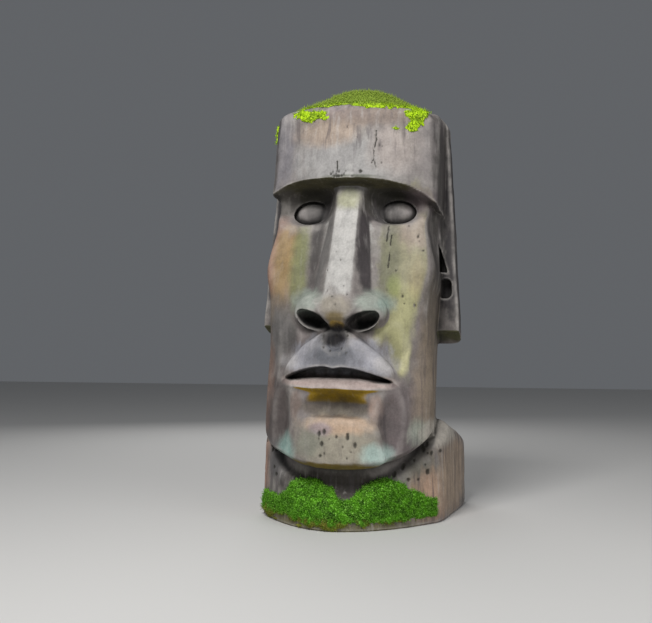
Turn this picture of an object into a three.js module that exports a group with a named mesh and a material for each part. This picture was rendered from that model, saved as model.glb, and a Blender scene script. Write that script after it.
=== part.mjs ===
// Carved stone head on a short neck and shoulders, one solid. Millimetres, +Z up, facing -Y.
// The form is a field: negative inside the stone, zero on its surface. Everything from the jaw up is
// drawn symmetrical about x = 0 and then leaned a little to +X about the neck.
import * as THREE from "three";

const { abs, cos, exp, hypot, max, min, sin, sqrt, PI } = Math;

// ---- sizes ----
const LEAN = 1.75 * PI / 180;
const NECK_PIVOT = 300;
const FAR = 1000;
const BACK = -262;

const BLOCK = { half: 399, splay: 0.08, front: 441, rake: 0.1, rakeTop: 500, bow: 0.00205, corner: 100,
  rear: -440, sideSquareness: 60, rearSquareness: 11, arris: 26, toe: 10 };
const COLLAR = { level: 402, fall: 0.66, dip: 0.001, dipFrom: 250, napeLevel: 425, napeFall: 0.22, ease: 40,
  shoulder: 365, shoulderFall: 0.62, arris: 30 };
const SLAB = { rear: -30, edge: 1428, droop: 71, droopPower: 3.3, skew: 24, half: 362, taper: 0.012,
  reach: 304, rake: 0.167, bow: 120, corner: 18, under: 0.22, underMax: 26, arris: 7 };
const CROWN = { level: 1732, tilt: 0.03, rise: 120, half: 226, depth: 196, power: 2.6, slope: 0.48,
  shoulder: 40 };
const FACE_CENTRE = 140;
const FACE_HALF = [[200, 360], [520, 361], [720, 355], [850, 350], [940, 350], [1050, 364], [1140, 350],
  [1250, 330], [1430, 336]];
const FACE_REACH = [[200, 436], [420, 440], [500, 430], [560, 412], [640, 385], [720, 368], [800, 352],
  [900, 322], [1000, 300], [1100, 272], [1230, 240], [1430, 215]];
const FACE_SQUARENESS = [[200, 2], [600, 2], [720, 2.2], [850, 3], [960, 4.4], [1060, 5.6], [1430, 5.6]];
const BACK_SQUARENESS = [[200, 2.1], [700, 2.2], [1000, 3], [1430, 3]];
const NAPE = { centre: 30, squareness: 2.6, sideSquareness: 40, from: 10, to: 100 };
const NAPE_HALF = [[300, 345], [700, 345], [950, 358], [1200, 364], [1800, 364]];
const SOCKET = { at: [190, 254, 1335], size: [152, 126, 96], ease: 34 };
const LID = { at: [186, 94, 1286], size: [108, 62, 84], ease: 24 };
const EYE = { at: [186, 112, 1288], size: [83, 76, 65], ease: 3 };
const NOSE = { top: 1373, rootReach: 253, slope: 0.348, half: 48, flareTop: 1334, flare: 0.55,
  flareGrow: 0.0013, flareMax: 0.95, arris: 14, tipLevel: 862, tipReach: 433, under: 0.3, underEase: 30,
  head: 1440, ease: 26 };
const WING = { at: [106, 326, 868], size: [90, 92, 80], ease: 44 };
const TIP = { at: [0, 370, 884], size: [76, 66, 58], ease: 18 };
const COLUMELLA = { level: 797, half: 20, flare: 0.62, reach: 372, slope: 1.15, inset: 8, back: 290,
  top: 900, arris: 10, ease: 12 };
const NOSTRIL = { at: [102, 398, 830], size: [70, 104, 45], cant: 0.3, climb: 0.3, climbFrom: 398, ease: 7 };
const FOLD = { at: [226, 376, 712], size: [50, 72, 112], ease: 36 };
const LIP = { level: 650, corner: 248, drop: 65, power: 2.2, notch: 8, notchHalf: 22, reach: 441, rake: 0.35,
  half: 290, centre: 205, arris: 5, ease: 14 };
const MUZZLE = { half: 256, foot: 585, rise: 222, power: 1.4, depth: 110, ease: 22 };
const MOUTH = { at: [0, 260, 612], size: [264, 175, 52], lift: 4, half: 274, reach: 340, ease: 10 };
const LOWER_LIP = { level: 559, lift: 10, liftHalf: 237, reach: 434, top: 1.2, under: 0.95, seat: 607,
  seatDrop: 24, arris: 4, ease: 8 };
const CHIN_HOLLOW = { at: [15, 436, 494], size: [156, 76, 60], ease: 34 };
const CHIN_CHANNEL = { at: [240, 394, 440], size: [50, 62, 150], ease: 26 };
const CHIN = { side: 20, half: 158, flare: 0.27, top: 450, arch: 0.0012, reach: 449, bowAcross: 0.0012,
  bowUp: 0.0007, middle: 340, edge: 28, front: 26, from: 200, ease: 16 };
const PHILTRUM = { at: [0, 418, 764], size: [46, 48, 50], ease: 20 };
const JAW = { level: 263, rise: 190, reach: 438, nape: 400, napeFall: 1.6, napeReach: 100, napeEase: 50,
  napeMax: 240, bevel: 1.05, bevelDepth: 46, arris: 6 };
const NECK = { half: 300, centre: 60, reach: 352, rear: -255, frontSquareness: 2.1, rearSquareness: 2.5,
  top: 480, foot: 60, ease: 16 };
const EAR = { top: 1698, half: 375, flare: 0.08, front: 30, rear: -100, foot: 805, footFall: 0.42,
  topFall: 1.6, rearEase: 70, arris: 12, ease: 10 };
const EAR_CLEFT = { inner: 350, outer: 386, ledge: 1062, cant: 0.3, front: 60, back: -30, ease: 5 };
const EAR_POCKET = { at: [378, 40, 990], half: [28, 60, 40], round: 22, ease: 6 };
const BODY_JOIN = 14;
const ELLIPSE = 2;
const SOFT_END = 20;
const CLOSE_END = 9;

// ---- mesh lattice: upright wedges about the z axis, finest round the face ----
const FACE_ARC = 75.6;
const FACE_STEP = 3.6;
const SIDE_ANGLES = [80, 84, 88, 93, 99, 106, 116, 128, 142, 155, 168];
const RADII = [0, 120, 200, 250, 280, 302, 324, 346, 368, 390, 412, 436, 466, 510, 570, 660];
const BANDS = [[-14, 10, 1], [10, 230, 6], [230, 320, 5], [320, 430, 4], [430, 540, 6], [540, 670, 9],
  [670, 790, 6], [790, 960, 10], [960, 1220, 9], [1220, 1450, 13], [1450, 1700, 5], [1700, 1876, 7]];
const PULL = 0.06;
const PROBE = 0.5;
const FLAT = 1e-6;
const GROUND = 0.5;
const MOST_FACES = 9600;
const THIN_SHARE = 0.3;
const THIN_TURN = 0.9;
const THIN_SLIVER = 20;

// ---- blending and building blocks ----
const clamp = THREE.MathUtils.clamp;

function blendMin(a, b, k) {
  const h = max(k - abs(a - b), 0) / k;
  return min(a, b) - h * h * k / 4;
}

const blendMax = (a, b, k) => -blendMin(-a, -b, k);

// turns a height above a sloping surface into the distance from it
const square = (height, ...slopes) => height / hypot(1, ...slopes);

function ellipsoid(x, f, z, { at, size }) {
  const [dx, df, dz] = [x - at[0], f - at[1], z - at[2]];
  const [rx, rf, rz] = size;
  const near = hypot(dx / rx, df / rf, dz / rz);
  const slope = hypot(dx / rx ** 2, df / rf ** 2, dz / rz ** 2);
  return near * (near - 1) / max(slope, FLAT);
}

function box(x, f, z, { at, half, round }) {
  const q = [x - at[0], f - at[1], z - at[2]].map((d, i) => abs(d) - half[i] + round);
  return hypot(...q.map((v) => max(v, 0))) + min(max(...q), 0) - round;
}

// smooth curve through [height, value] pairs
function along(z, pairs) {
  const last = pairs.length - 1;
  const h = clamp(z, pairs[0][0], pairs[last][0]);
  let i = 0;
  while (i < last - 1 && h > pairs[i + 1][0]) i += 1;
  const slope = (j) => {
    const [a, b] = [pairs[max(j - 1, 0)], pairs[min(j + 1, last)]];
    return (b[1] - a[1]) / (b[0] - a[0]);
  };
  const w = pairs[i + 1][0] - pairs[i][0];
  const t = (h - pairs[i][0]) / w;
  const u = 1 - t;
  const ends = pairs[i][1] * (1 + 2 * t) * u * u + pairs[i + 1][1] * t * t * (3 - 2 * t);
  return ends + w * t * u * (slope(i) * u - slope(i + 1) * t);
}

// superellipse slice through a form: widest at centre, reaching front and back of it
function slice(ax, f, half, centre, front, back, n) {
  const reach = max(f > centre ? front - centre : centre - back, 1);
  const q = ((ax / half) ** n + (abs(f - centre) / reach) ** n) ** (1 / n);
  return (q - 1) * (f > centre ? sqrt(half * reach) : half);
}

// ---- the form; f runs forward, out of the face ----
function shoulders(x, f, z) {
  const ax = abs(x);
  const front = BLOCK.front - BLOCK.rake * clamp(z, 0, BLOCK.rakeTop) - BLOCK.bow * x * x;
  const half = BLOCK.half + BLOCK.splay * (BLOCK.corner - f);
  const squareness = f > BLOCK.corner ? BLOCK.sideSquareness : BLOCK.rearSquareness;
  const sides = slice(ax, f, half, BLOCK.corner, FAR, BLOCK.rear, squareness);
  const plan = blendMax(square(f - front, 2 * BLOCK.bow * x), sides, BLOCK.arris);
  const collar = COLLAR.level - COLLAR.fall * f - COLLAR.dip * max(f - COLLAR.dipFrom, 0) ** 2;
  const level = blendMin(collar, COLLAR.napeLevel + COLLAR.napeFall * f, COLLAR.ease);
  const top = level - COLLAR.shoulderFall * max(ax - COLLAR.shoulder, 0);
  return blendMax(blendMax(plan, square(z - top, COLLAR.fall), COLLAR.arris), -z, BLOCK.toe);
}

function foreheadSlab(x, f, z) {
  const t = x / SLAB.half;
  const half = SLAB.half - SLAB.taper * (z - SLAB.edge);
  const edge = SLAB.edge - SLAB.droop * abs(t) ** SLAB.droopPower - SLAB.skew * t * abs(t);
  const front = SLAB.reach - SLAB.rake * (z - SLAB.edge) - SLAB.bow * t * t;
  const face = square(f - front, SLAB.rake, 2 * SLAB.bow * t / SLAB.half);
  const slab = blendMax(blendMax(face, napeSides(abs(x), f, half), SLAB.corner), SLAB.rear - f, SOFT_END);
  const under = edge - clamp(SLAB.under * (front - f), 0, SLAB.underMax);
  return blendMax(slab, square(under - z, SLAB.under), SLAB.arris);
}

// the plain back of the head, shared by the face and the forehead slab
function napeSides(ax, f, half) {
  return slice(ax, f, half, NAPE.centre, FAR, BACK, f > NAPE.centre ? NAPE.sideSquareness : NAPE.squareness);
}

function faceColumn(ax, f, z) {
  const squareness = along(z, f > FACE_CENTRE ? FACE_SQUARENESS : BACK_SQUARENESS);
  const front = slice(ax, f, along(z, FACE_HALF), FACE_CENTRE, along(z, FACE_REACH), BACK, squareness);
  const back = napeSides(ax, f, along(z, NAPE_HALF));
  const column = back + (front - back) * THREE.MathUtils.smoothstep(f, NAPE.from, NAPE.to);
  return blendMax(column, -ellipsoid(ax, f, z, SOCKET), SOCKET.ease);
}

function withEyes(stone, ax, f, z) {
  const lidded = blendMin(stone, ellipsoid(ax, f, z, LID), LID.ease);
  return blendMin(lidded, ellipsoid(ax, f, z, EYE), EYE.ease);
}

function withNose(stone, ax, f, z) {
  const ridge = NOSE.rootReach + NOSE.slope * (NOSE.top - z);
  const flare = clamp(NOSE.flare + NOSE.flareGrow * (NOSE.flareTop - z), NOSE.flare, NOSE.flareMax);
  const sides = square(ax - NOSE.half - flare * (ridge - f), flare);
  let nose = blendMax(sides, square(f - ridge, NOSE.slope), NOSE.arris);
  nose = blendMax(nose, NOSE.tipLevel + NOSE.under * (NOSE.tipReach - f) - z, NOSE.underEase);
  nose = blendMax(nose, max(z - NOSE.head, NECK.centre - f), CLOSE_END);
  const lobes = blendMin(ellipsoid(ax, f, z, WING), ellipsoid(ax, f, z, TIP), WING.ease);
  return blendMin(blendMin(stone, nose, NOSE.ease), lobes, TIP.ease);
}

function withMouth(stone, ax, f, z) {
  let form = blendMax(stone, -ellipsoid(ax, f, z, FOLD), FOLD.ease);
  const notch = LIP.notch * exp(-((ax / LIP.notchHalf) ** 2));
  const line = LIP.level - LIP.drop * (ax / LIP.corner) ** LIP.power - notch;
  const reach = LIP.reach - LIP.rake * max(z - LIP.level, 0);
  const rise = max(z - MUZZLE.foot, 0) / MUZZLE.rise;
  const spread = ((ax / MUZZLE.half) ** MUZZLE.power + rise ** MUZZLE.power) ** (1 / MUZZLE.power);
  let upper = slice(ax, f, LIP.half, LIP.centre, reach, 0, ELLIPSE);
  upper = blendMax(upper, (spread - 1) * MUZZLE.depth, MUZZLE.ease);
  upper = blendMax(upper, line - z, LIP.arris);
  const wall = slice(ax, f, MOUTH.half, LIP.centre, MOUTH.reach, 0, ELLIPSE);
  const cavity = max(ellipsoid(ax, f, z, MOUTH), z - line - MOUTH.lift, -wall);
  form = blendMax(form, -cavity, MOUTH.ease);
  form = blendMin(form, upper, LIP.ease);
  const inset = -slice(ax, f, LIP.half, LIP.centre, LOWER_LIP.reach, 0, ELLIPSE);
  const rim = LOWER_LIP.level + LOWER_LIP.lift * (ax / LOWER_LIP.liftHalf) ** 2;
  const topFace = square(z - rim - LOWER_LIP.top * inset, LOWER_LIP.top);
  const underFace = square(rim - LOWER_LIP.under * inset - z, LOWER_LIP.under);
  let lower = blendMax(topFace, underFace, LOWER_LIP.arris);
  const seat = LOWER_LIP.seat - LOWER_LIP.seatDrop * (ax / LIP.corner) ** 2;
  lower = blendMax(lower, max(z - seat, LIP.centre - f), CLOSE_END);
  return blendMin(form, lower, LOWER_LIP.ease);
}

function withChin(stone, x, ax, f, z) {
  let form = blendMax(stone, -ellipsoid(x, f, z, CHIN_HOLLOW), CHIN_HOLLOW.ease);
  form = blendMax(form, -ellipsoid(ax, f, z, CHIN_CHANNEL), CHIN_CHANNEL.ease);
  const bx = abs(x - CHIN.side);
  const sides = bx - CHIN.half - CHIN.flare * (CHIN.top - z);
  let boss = blendMax(sides, z - CHIN.top + CHIN.arch * bx * bx, CHIN.edge);
  const front = CHIN.reach - CHIN.bowAcross * bx * bx - CHIN.bowUp * (z - CHIN.middle) ** 2;
  const face = square(f - front, 2 * CHIN.bowAcross * bx, 2 * CHIN.bowUp * (z - CHIN.middle));
  boss = blendMax(boss, face, CHIN.front);
  boss = blendMax(boss, CHIN.from - min(f, z), SOFT_END);
  form = blendMin(form, boss, CHIN.ease);
  const jawLine = JAW.level + JAW.rise * (1 - f / JAW.reach);
  const napeLine = JAW.nape - min(JAW.napeFall * (JAW.napeReach - f), JAW.napeMax);
  const arris = blendMin(max(jawLine, JAW.level), napeLine, JAW.napeEase);
  const bevel = square(form + JAW.bevel * (arris - z), JAW.bevel);
  return blendMax(form, blendMax(bevel, arris - JAW.bevelDepth - z, CLOSE_END), JAW.arris);
}

function withNostrils(stone, ax, f, z) {
  const cant = NOSTRIL.cant * (ax - NOSTRIL.at[0]) + NOSTRIL.climb * (NOSTRIL.climbFrom - f);
  const form = blendMax(stone, -ellipsoid(ax, f, z - cant, NOSTRIL), NOSTRIL.ease);
  const rise = z - COLUMELLA.level;
  const front = square(f - COLUMELLA.reach - COLUMELLA.slope * rise, COLUMELLA.slope);
  const ridge = square(f - NOSE.rootReach - NOSE.slope * (NOSE.top - z) + COLUMELLA.inset, NOSE.slope);
  let bridge = square(ax - COLUMELLA.half - COLUMELLA.flare * rise, COLUMELLA.flare);
  bridge = blendMax(bridge, blendMax(front, ridge, COLUMELLA.arris), COLUMELLA.arris);
  bridge = max(bridge, -rise, z - COLUMELLA.top, COLUMELLA.back - f);
  return blendMax(blendMin(form, bridge, COLUMELLA.ease), -ellipsoid(ax, f, z, PHILTRUM), PHILTRUM.ease);
}

function neckColumn(ax, f, z) {
  const squareness = f > NECK.centre ? NECK.frontSquareness : NECK.rearSquareness;
  const neck = slice(ax, f, NECK.half, NECK.centre, NECK.reach, NECK.rear, squareness);
  return blendMax(blendMax(neck, z - NECK.top, SOFT_END), NECK.foot - z, CLOSE_END);
}

function withEars(stone, ax, f, z) {
  const outer = EAR.half + EAR.flare * (EAR.top - z);
  let ear = blendMax(ax - outer, EAR.rear - f, EAR.rearEase);
  ear = blendMax(ear, f - EAR.front, EAR.arris);
  ear = blendMax(ear, square(EAR.foot - EAR.footFall * (EAR.front - f) - z, EAR.footFall), CLOSE_END);
  ear = blendMax(ear, square(z - EAR.top - EAR.topFall * (EAR.half - ax), EAR.topFall), EAR.arris);
  ear = blendMax(ear, -box(ax, f, z, EAR_POCKET), EAR_POCKET.ease);
  const wedge = square(ax - EAR_CLEFT.outer + EAR_CLEFT.cant * (z - EAR_CLEFT.ledge), EAR_CLEFT.cant);
  const slot = max(EAR_CLEFT.inner - ax, EAR_CLEFT.ledge - z, f - EAR_CLEFT.front, EAR_CLEFT.back - f);
  const cleft = max(wedge, slot);
  return blendMax(blendMin(stone, ear, EAR.ease), -cleft, EAR_CLEFT.ease);
}

function headForm(x, f, z) {
  const ax = abs(x);
  let form = blendMin(faceColumn(ax, f, z), foreheadSlab(x, f, z), NOSE.ease);
  form = withEyes(form, ax, f, z);
  form = withNose(form, ax, f, z);
  form = withMouth(form, ax, f, z);
  form = withChin(form, x, ax, f, z);
  form = withNostrils(form, ax, f, z);
  form = blendMin(form, neckColumn(ax, f, z), NECK.ease);
  form = withEars(form, ax, f, z);
  const dome = CROWN.rise * exp(-(hypot(x / CROWN.half, f / CROWN.depth) ** CROWN.power));
  return blendMax(form, square(z - CROWN.level + CROWN.tilt * x - dome, CROWN.slope), CROWN.shoulder);
}

function statue(p) {
  const rise = p.z - NECK_PIVOT;
  const x = cos(LEAN) * p.x - sin(LEAN) * rise;
  const z = sin(LEAN) * p.x + cos(LEAN) * rise + NECK_PIVOT;
  return blendMin(shoulders(p.x, -p.y, p.z), headForm(x, -p.y, z), BODY_JOIN);
}

// ---- the mesh: one point in every lattice cell the surface passes through ----
function latticeAngles() {
  const front = [];
  for (let a = -FACE_ARC; a < FACE_ARC + FLAT; a += FACE_STEP) front.push(a);
  const right = SIDE_ANGLES.map((a) => a);
  const left = SIDE_ANGLES.map((a) => -a).reverse();
  return [-180, ...left, ...front, ...right].map((a) => a * PI / 180);
}

function latticeHeights() {
  const heights = [BANDS[0][0]];
  for (const [from, to, steps] of BANDS) {
    for (let i = 1; i <= steps; i += 1) heights.push(from + (to - from) * i / steps);
  }
  return heights;
}

function slopeAt(p) {
  const part = ["x", "y", "z"].map((axis) => {
    const a = p.clone();
    const b = p.clone();
    a[axis] += PROBE;
    b[axis] -= PROBE;
    return (statue(a) - statue(b)) / (2 * PROBE);
  });
  return new THREE.Vector3(...part);
}

// where the surface crosses the edge between a and b, with the direction it faces there
function crossing(a, b, va, vb) {
  let [lo, hi, vlo, vhi] = [0, 1, va, vb];
  let t = va / (va - vb);
  for (let i = 0; i < 4; i += 1) {
    const v = statue(a.clone().lerp(b, t));
    if (v < 0 === vlo < 0) [lo, vlo] = [t, v];
    else [hi, vhi] = [t, v];
    t = lo + (hi - lo) * vlo / (vlo - vhi);
  }
  const point = a.clone().lerp(b, t);
  return { point, normal: slopeAt(point).normalize() };
}

// the point that lies closest to all the tangent planes met in a cell
function settle(hits) {
  const middle = new THREE.Vector3();
  for (const { point } of hits) middle.addScaledVector(point, 1 / hits.length);
  const m = new THREE.Matrix3().set(PULL, 0, 0, 0, PULL, 0, 0, 0, PULL);
  const rhs = new THREE.Vector3();
  for (const { point, normal: n } of hits) {
    const off = n.dot(point.clone().sub(middle));
    rhs.addScaledVector(n, off);
    const parts = n.toArray();
    parts.forEach((a, i) => parts.forEach((b, j) => { m.elements[3 * i + j] += a * b; }));
  }
  return middle.add(rhs.applyMatrix3(m.invert()));
}

const AXES = [[1, 0, 0], [0, 1, 0], [0, 0, 1]];
const SQUARE = [[0, 0], [1, 0], [1, 1], [0, 1]];

// a cell's edge along the axis, starting from its corner
const edgeOf = (axis, corner) => axis * 4 + corner[(axis + 1) % 3] + 2 * corner[(axis + 2) % 3];

// groups a cell's crossed edges into the separate sheets of surface that pass through it
function sheets(crossed, inside) {
  const group = new Map([...crossed.keys()].map((e) => [e, e]));
  const join = (e, g) => {
    const [from, to] = [group.get(e), group.get(g)];
    group.forEach((v, k) => { if (v === from) group.set(k, to); });
  };
  for (let axis = 0; axis < 3; axis += 1) {
    for (const side of [0, 1]) {
      const corners = SQUARE.map(([m, n]) => {
        const corner = [0, 0, 0];
        [corner[axis], corner[(axis + 1) % 3], corner[(axis + 2) % 3]] = [side, m, n];
        return corner;
      });
      const edges = corners.map((corner, i) => {
        const other = corners[(i + 1) % 4];
        const along = (axis + 1 + i % 2) % 3;
        return edgeOf(along, corner.map((v, d) => min(v, other[d])));
      });
      const hit = edges.filter((e) => crossed.has(e));
      if (hit.length === 2) join(hit[0], hit[1]);
      if (hit.length === 4) corners.forEach((c, i) => { if (inside(c)) join(edges[(i + 3) % 4], edges[i]); });
    }
  }
  const found = new Map();
  group.forEach((v, e) => found.set(v, [...(found.get(v) ?? []), e]));
  return [...found.values()];
}

function carve() {
  const angles = latticeAngles();
  const heights = latticeHeights();
  const counts = [RADII.length, angles.length, heights.length];
  const wrap = (i) => (i + counts[1]) % counts[1];
  const node = (r, a, h) => new THREE.Vector3(
    RADII[r] * sin(angles[wrap(a)]), -RADII[r] * cos(angles[wrap(a)]), heights[h]);
  const key = (r, a, h) => (h * counts[0] + r) * counts[1] + wrap(a);
  const values = new Map();
  const value = (r, a, h) => {
    const k = key(r, a, h);
    if (!values.has(k)) values.set(k, statue(node(r, a, h)));
    return values.get(k);
  };
  const cells = new Map();
  const note = (place, edges, hit) => {
    const k = key(...place);
    if (!cells.has(k)) cells.set(k, { place, crossed: new Map() });
    edges.forEach((e) => cells.get(k).crossed.set(e, hit));
    return [k, edges[0]];
  };
  const rings = [];
  for (let h = 0; h < counts[2]; h += 1) {
    for (let r = 0; r < counts[0]; r += 1) {
      for (let a = 0; a < counts[1]; a += 1) {
        for (let axis = 0; axis < 3; axis += 1) {
          const [dr, da, dh] = AXES[axis];
          const repeated = r === 0 && (axis === 1 || (axis === 2 && a > 0));
          if (r + dr >= counts[0] || h + dh >= counts[2] || repeated) continue;
          const [va, vb] = [value(r, a, h), value(r + dr, a + da, h + dh)];
          if (va < 0 === vb < 0) continue;
          const hit = crossing(node(r, a, h), node(r + dr, a + da, h + dh), va, vb);
          const hub = r === 0 && axis === 2;
          const ring = hub ? angles.map((_, i) => note([0, i, h], [8, 10], hit)) : SQUARE.map(([m, n]) => {
            const corner = [0, 0, 0];
            [corner[(axis + 1) % 3], corner[(axis + 2) % 3]] = [1 - m, 1 - n];
            return note([r - corner[0], wrap(a - corner[1]), h - corner[2]], [edgeOf(axis, corner)], hit);
          });
          rings.push({ ring: va < 0 ? ring : ring.reverse(), hub: hub && hit.point });
        }
      }
    }
  }
  const points = [];
  for (const cell of cells.values()) {
    const [r, a, h] = cell.place;
    const inside = (c) => value(r + c[0], a + c[1], h + c[2]) < 0;
    cell.index = new Map();
    for (const sheet of sheets(cell.crossed, inside)) {
      sheet.forEach((e) => cell.index.set(e, points.length));
      points.push(settle(sheet.map((e) => cell.crossed.get(e))));
    }
  }
  const faces = [];
  for (const { ring, hub } of rings) {
    const loop = ring.map(([k, e]) => cells.get(k).index.get(e));
    if (hub) {
      points.push(hub);
      loop.forEach((p, i) => faces.push([points.length - 1, p, loop[(i + 1) % loop.length]]));
    } else {
      const [p, q, r, s] = loop;
      const short = points[p].distanceTo(points[r]) < points[q].distanceTo(points[s]);
      faces.push(...(short ? [[p, q, r], [p, r, s]] : [[q, r, s], [q, s, p]]));
    }
  }
  points.forEach((p) => { if (p.z < GROUND) p.z = 0; });
  return { points, faces };
}

// the underside as one flat outline
function flattenUnderside({ points, faces }) {
  const kept = faces.filter((face) => face.some((i) => points[i].z > 0));
  const edges = new Set(kept.flatMap((f) => f.map((p, i) => `${p} ${f[(i + 1) % 3]}`)));
  const next = new Map();
  for (const edge of edges) {
    const [p, q] = edge.split(" ").map(Number);
    if (!edges.has(`${q} ${p}`)) next.set(q, p);
  }
  const loop = [next.keys().next().value];
  while (next.get(loop.at(-1)) !== loop[0]) loop.push(next.get(loop.at(-1)));
  const outline = loop.map((i) => new THREE.Vector2(points[i].x, points[i].y));
  for (const cap of THREE.ShapeUtils.triangulateShape(outline, [])) {
    const face = cap.map((i) => loop[i]);
    const [u, v] = [1, 2].map((i) => points[face[i]].clone().sub(points[face[0]]));
    kept.push(u.cross(v).z > 0 ? face.reverse() : face);
  }
  return { points, faces: kept };
}

// folds short edges away where the surface is nearly flat, until few enough faces are left
function thin({ points, faces }, limit) {
  const normalOf = (a, b, c) => b.clone().sub(a).cross(c.clone().sub(a));
  const planes = points.map(() => []);
  for (const face of faces) {
    const [a, b, c] = face.map((i) => points[i]);
    const normal = normalOf(a, b, c);
    const area = normal.length() / 2;
    normal.normalize();
    face.forEach((i) => planes[i].push({ normal, offset: normal.dot(a), area }));
  }
  const miss = (list, p) => list.reduce((sum, q) => sum + q.area * (q.normal.dot(p) - q.offset) ** 2, 0);
  let left = faces;
  while (left.length > limit) {
    const fans = points.map(() => []);
    left.forEach((face) => face.forEach((i) => fans[i].push(face)));
    const around = (i) => new Set(fans[i].flat());
    const moves = [];
    for (const face of left) {
      face.forEach((p, i) => {
        const q = face[(i + 1) % 3];
        if (points[p].z > 0 || points[q].z === 0) moves.push([miss(planes[p], points[q]), p, q]);
      });
    }
    moves.sort((a, b) => a[0] - b[0]);
    const busy = new Set();
    const gone = new Map();
    let room = left.length - limit;
    for (const [, p, q] of moves.slice(0, moves.length * THIN_SHARE)) {
      const [ringP, ringQ] = [around(p), around(q)];
      const shared = [...ringP].filter((i) => ringQ.has(i));
      const free = [...ringP, ...ringQ].every((i) => !busy.has(i));
      const steady = free && shared.length === 4 && fans[p].every((face) => {
        if (face.includes(q)) return true;
        const now = normalOf(...face.map((i) => points[i]));
        const then = normalOf(...face.map((i) => points[i === p ? q : i]));
        return now.dot(then) > THIN_TURN * now.length() * then.length() && then.length() > THIN_SLIVER;
      });
      if (steady && room > 0) {
        [...ringP, ...ringQ].forEach((i) => busy.add(i));
        gone.set(p, q);
        planes[q] = [...planes[q], ...planes[p]];
        room -= 2;
      }
    }
    left = left.map((face) => face.map((i) => gone.get(i) ?? i)).filter((face) => new Set(face).size === 3);
  }
  return { points, faces: left };
}

// the largest connected body, without stray specks
function mainBody({ points, faces }) {
  const parent = points.map((_, i) => i);
  const root = (i) => {
    let at = i;
    while (parent[at] !== at) at = parent[at];
    parent[i] = at;
    return at;
  };
  faces.forEach(([a, b, c]) => {
    parent[root(a)] = root(b);
    parent[root(b)] = root(c);
  });
  const tally = new Map();
  faces.forEach((face) => tally.set(root(face[0]), (tally.get(root(face[0])) ?? 0) + 1));
  const [largest] = [...tally].sort((a, b) => b[1] - a[1])[0];
  return { points, faces: faces.filter((face) => root(face[0]) === largest) };
}

function solid({ points, faces }) {
  const geometry = new THREE.BufferGeometry();
  const used = [...new Set(faces.flat())];
  const place = new Map(used.map((i, at) => [i, at]));
  const positions = used.flatMap((i) => points[i].toArray());
  geometry.setAttribute("position", new THREE.Float32BufferAttribute(positions, 3));
  geometry.setIndex(faces.flat().map((i) => place.get(i)));
  geometry.computeVertexNormals();
  return geometry;
}

const stone = new THREE.MeshStandardMaterial({ color: 0x8c8780, roughness: 0.9, metalness: 0 });
const head = new THREE.Mesh(solid(thin(flattenUnderside(mainBody(carve())), MOST_FACES)), stone);
head.name = "moai_statue";
const group = new THREE.Group();
group.name = "moai_stone_head";
group.add(head);
export default group;
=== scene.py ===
"""Moai stone head: the weathered stone and its moss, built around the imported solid.

The form is a field in millimetres, negative inside the stone and zero on its surface. Everything from the
jaw up is drawn symmetrical about x = 0 and then leaned a little to +X. f runs forward, out of the face.
"""

import math
from types import SimpleNamespace as Sizes

import bpy
import numpy as np
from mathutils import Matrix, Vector


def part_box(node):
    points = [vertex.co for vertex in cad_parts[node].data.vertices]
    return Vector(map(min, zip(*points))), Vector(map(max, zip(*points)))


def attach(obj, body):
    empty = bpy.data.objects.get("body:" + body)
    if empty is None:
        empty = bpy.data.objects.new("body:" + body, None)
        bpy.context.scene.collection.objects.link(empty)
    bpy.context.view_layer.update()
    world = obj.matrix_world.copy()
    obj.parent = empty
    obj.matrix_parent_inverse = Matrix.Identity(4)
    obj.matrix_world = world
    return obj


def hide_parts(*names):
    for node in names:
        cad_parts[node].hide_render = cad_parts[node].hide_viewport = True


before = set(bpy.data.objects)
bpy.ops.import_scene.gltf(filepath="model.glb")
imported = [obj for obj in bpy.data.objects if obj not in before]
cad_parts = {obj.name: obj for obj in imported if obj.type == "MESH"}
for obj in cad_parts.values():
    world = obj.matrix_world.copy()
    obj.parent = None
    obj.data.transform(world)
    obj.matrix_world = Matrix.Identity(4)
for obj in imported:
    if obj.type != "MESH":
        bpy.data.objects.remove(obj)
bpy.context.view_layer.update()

STONE_NODE = "moai_statue"
MM = 0.001
SEED = 11

# ---- sizes of the carving, in millimetres ----
LEAN = math.radians(1.75)
NECK_PIVOT = 300
FAR = 1000
BACK = -262

BLOCK = Sizes(half=399, splay=0.08, front=441, rake=0.1, rakeTop=500, bow=0.00205, corner=100, rear=-440,
              sideSquareness=60, rearSquareness=11, arris=26, toe=10)
COLLAR = Sizes(level=402, fall=0.66, dip=0.001, dipFrom=250, napeLevel=425, napeFall=0.22, ease=40,
               shoulder=365, shoulderFall=0.62, arris=30)
SLAB = Sizes(rear=-30, edge=1428, droop=71, droopPower=3.3, skew=24, half=362, taper=0.012,
             reach=304, rake=0.167, bow=120, corner=18, under=0.22, underMax=26, arris=7)
CROWN = Sizes(level=1732, tilt=0.03, rise=120, half=226, depth=196, power=2.6, slope=0.48, shoulder=40)
FACE_CENTRE = 140
FACE_HALF = [(200, 360), (520, 361), (720, 355), (850, 350), (940, 350), (1050, 364), (1140, 350),
             (1250, 330), (1430, 336)]
FACE_REACH = [(200, 436), (420, 440), (500, 430), (560, 412), (640, 385), (720, 368), (800, 352),
              (900, 322), (1000, 300), (1100, 272), (1230, 240), (1430, 215)]
FACE_SQUARENESS = [(200, 2), (600, 2), (720, 2.2), (850, 3), (960, 4.4), (1060, 5.6), (1430, 5.6)]
BACK_SQUARENESS = [(200, 2.1), (700, 2.2), (1000, 3), (1430, 3)]
NAPE = Sizes(centre=30, squareness=2.6, sideSquareness=40, start=10, end=100)
NAPE_HALF = [(300, 345), (700, 345), (950, 358), (1200, 364), (1800, 364)]
SOCKET = Sizes(at=(190, 254, 1335), size=(152, 126, 96), ease=34)
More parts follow.
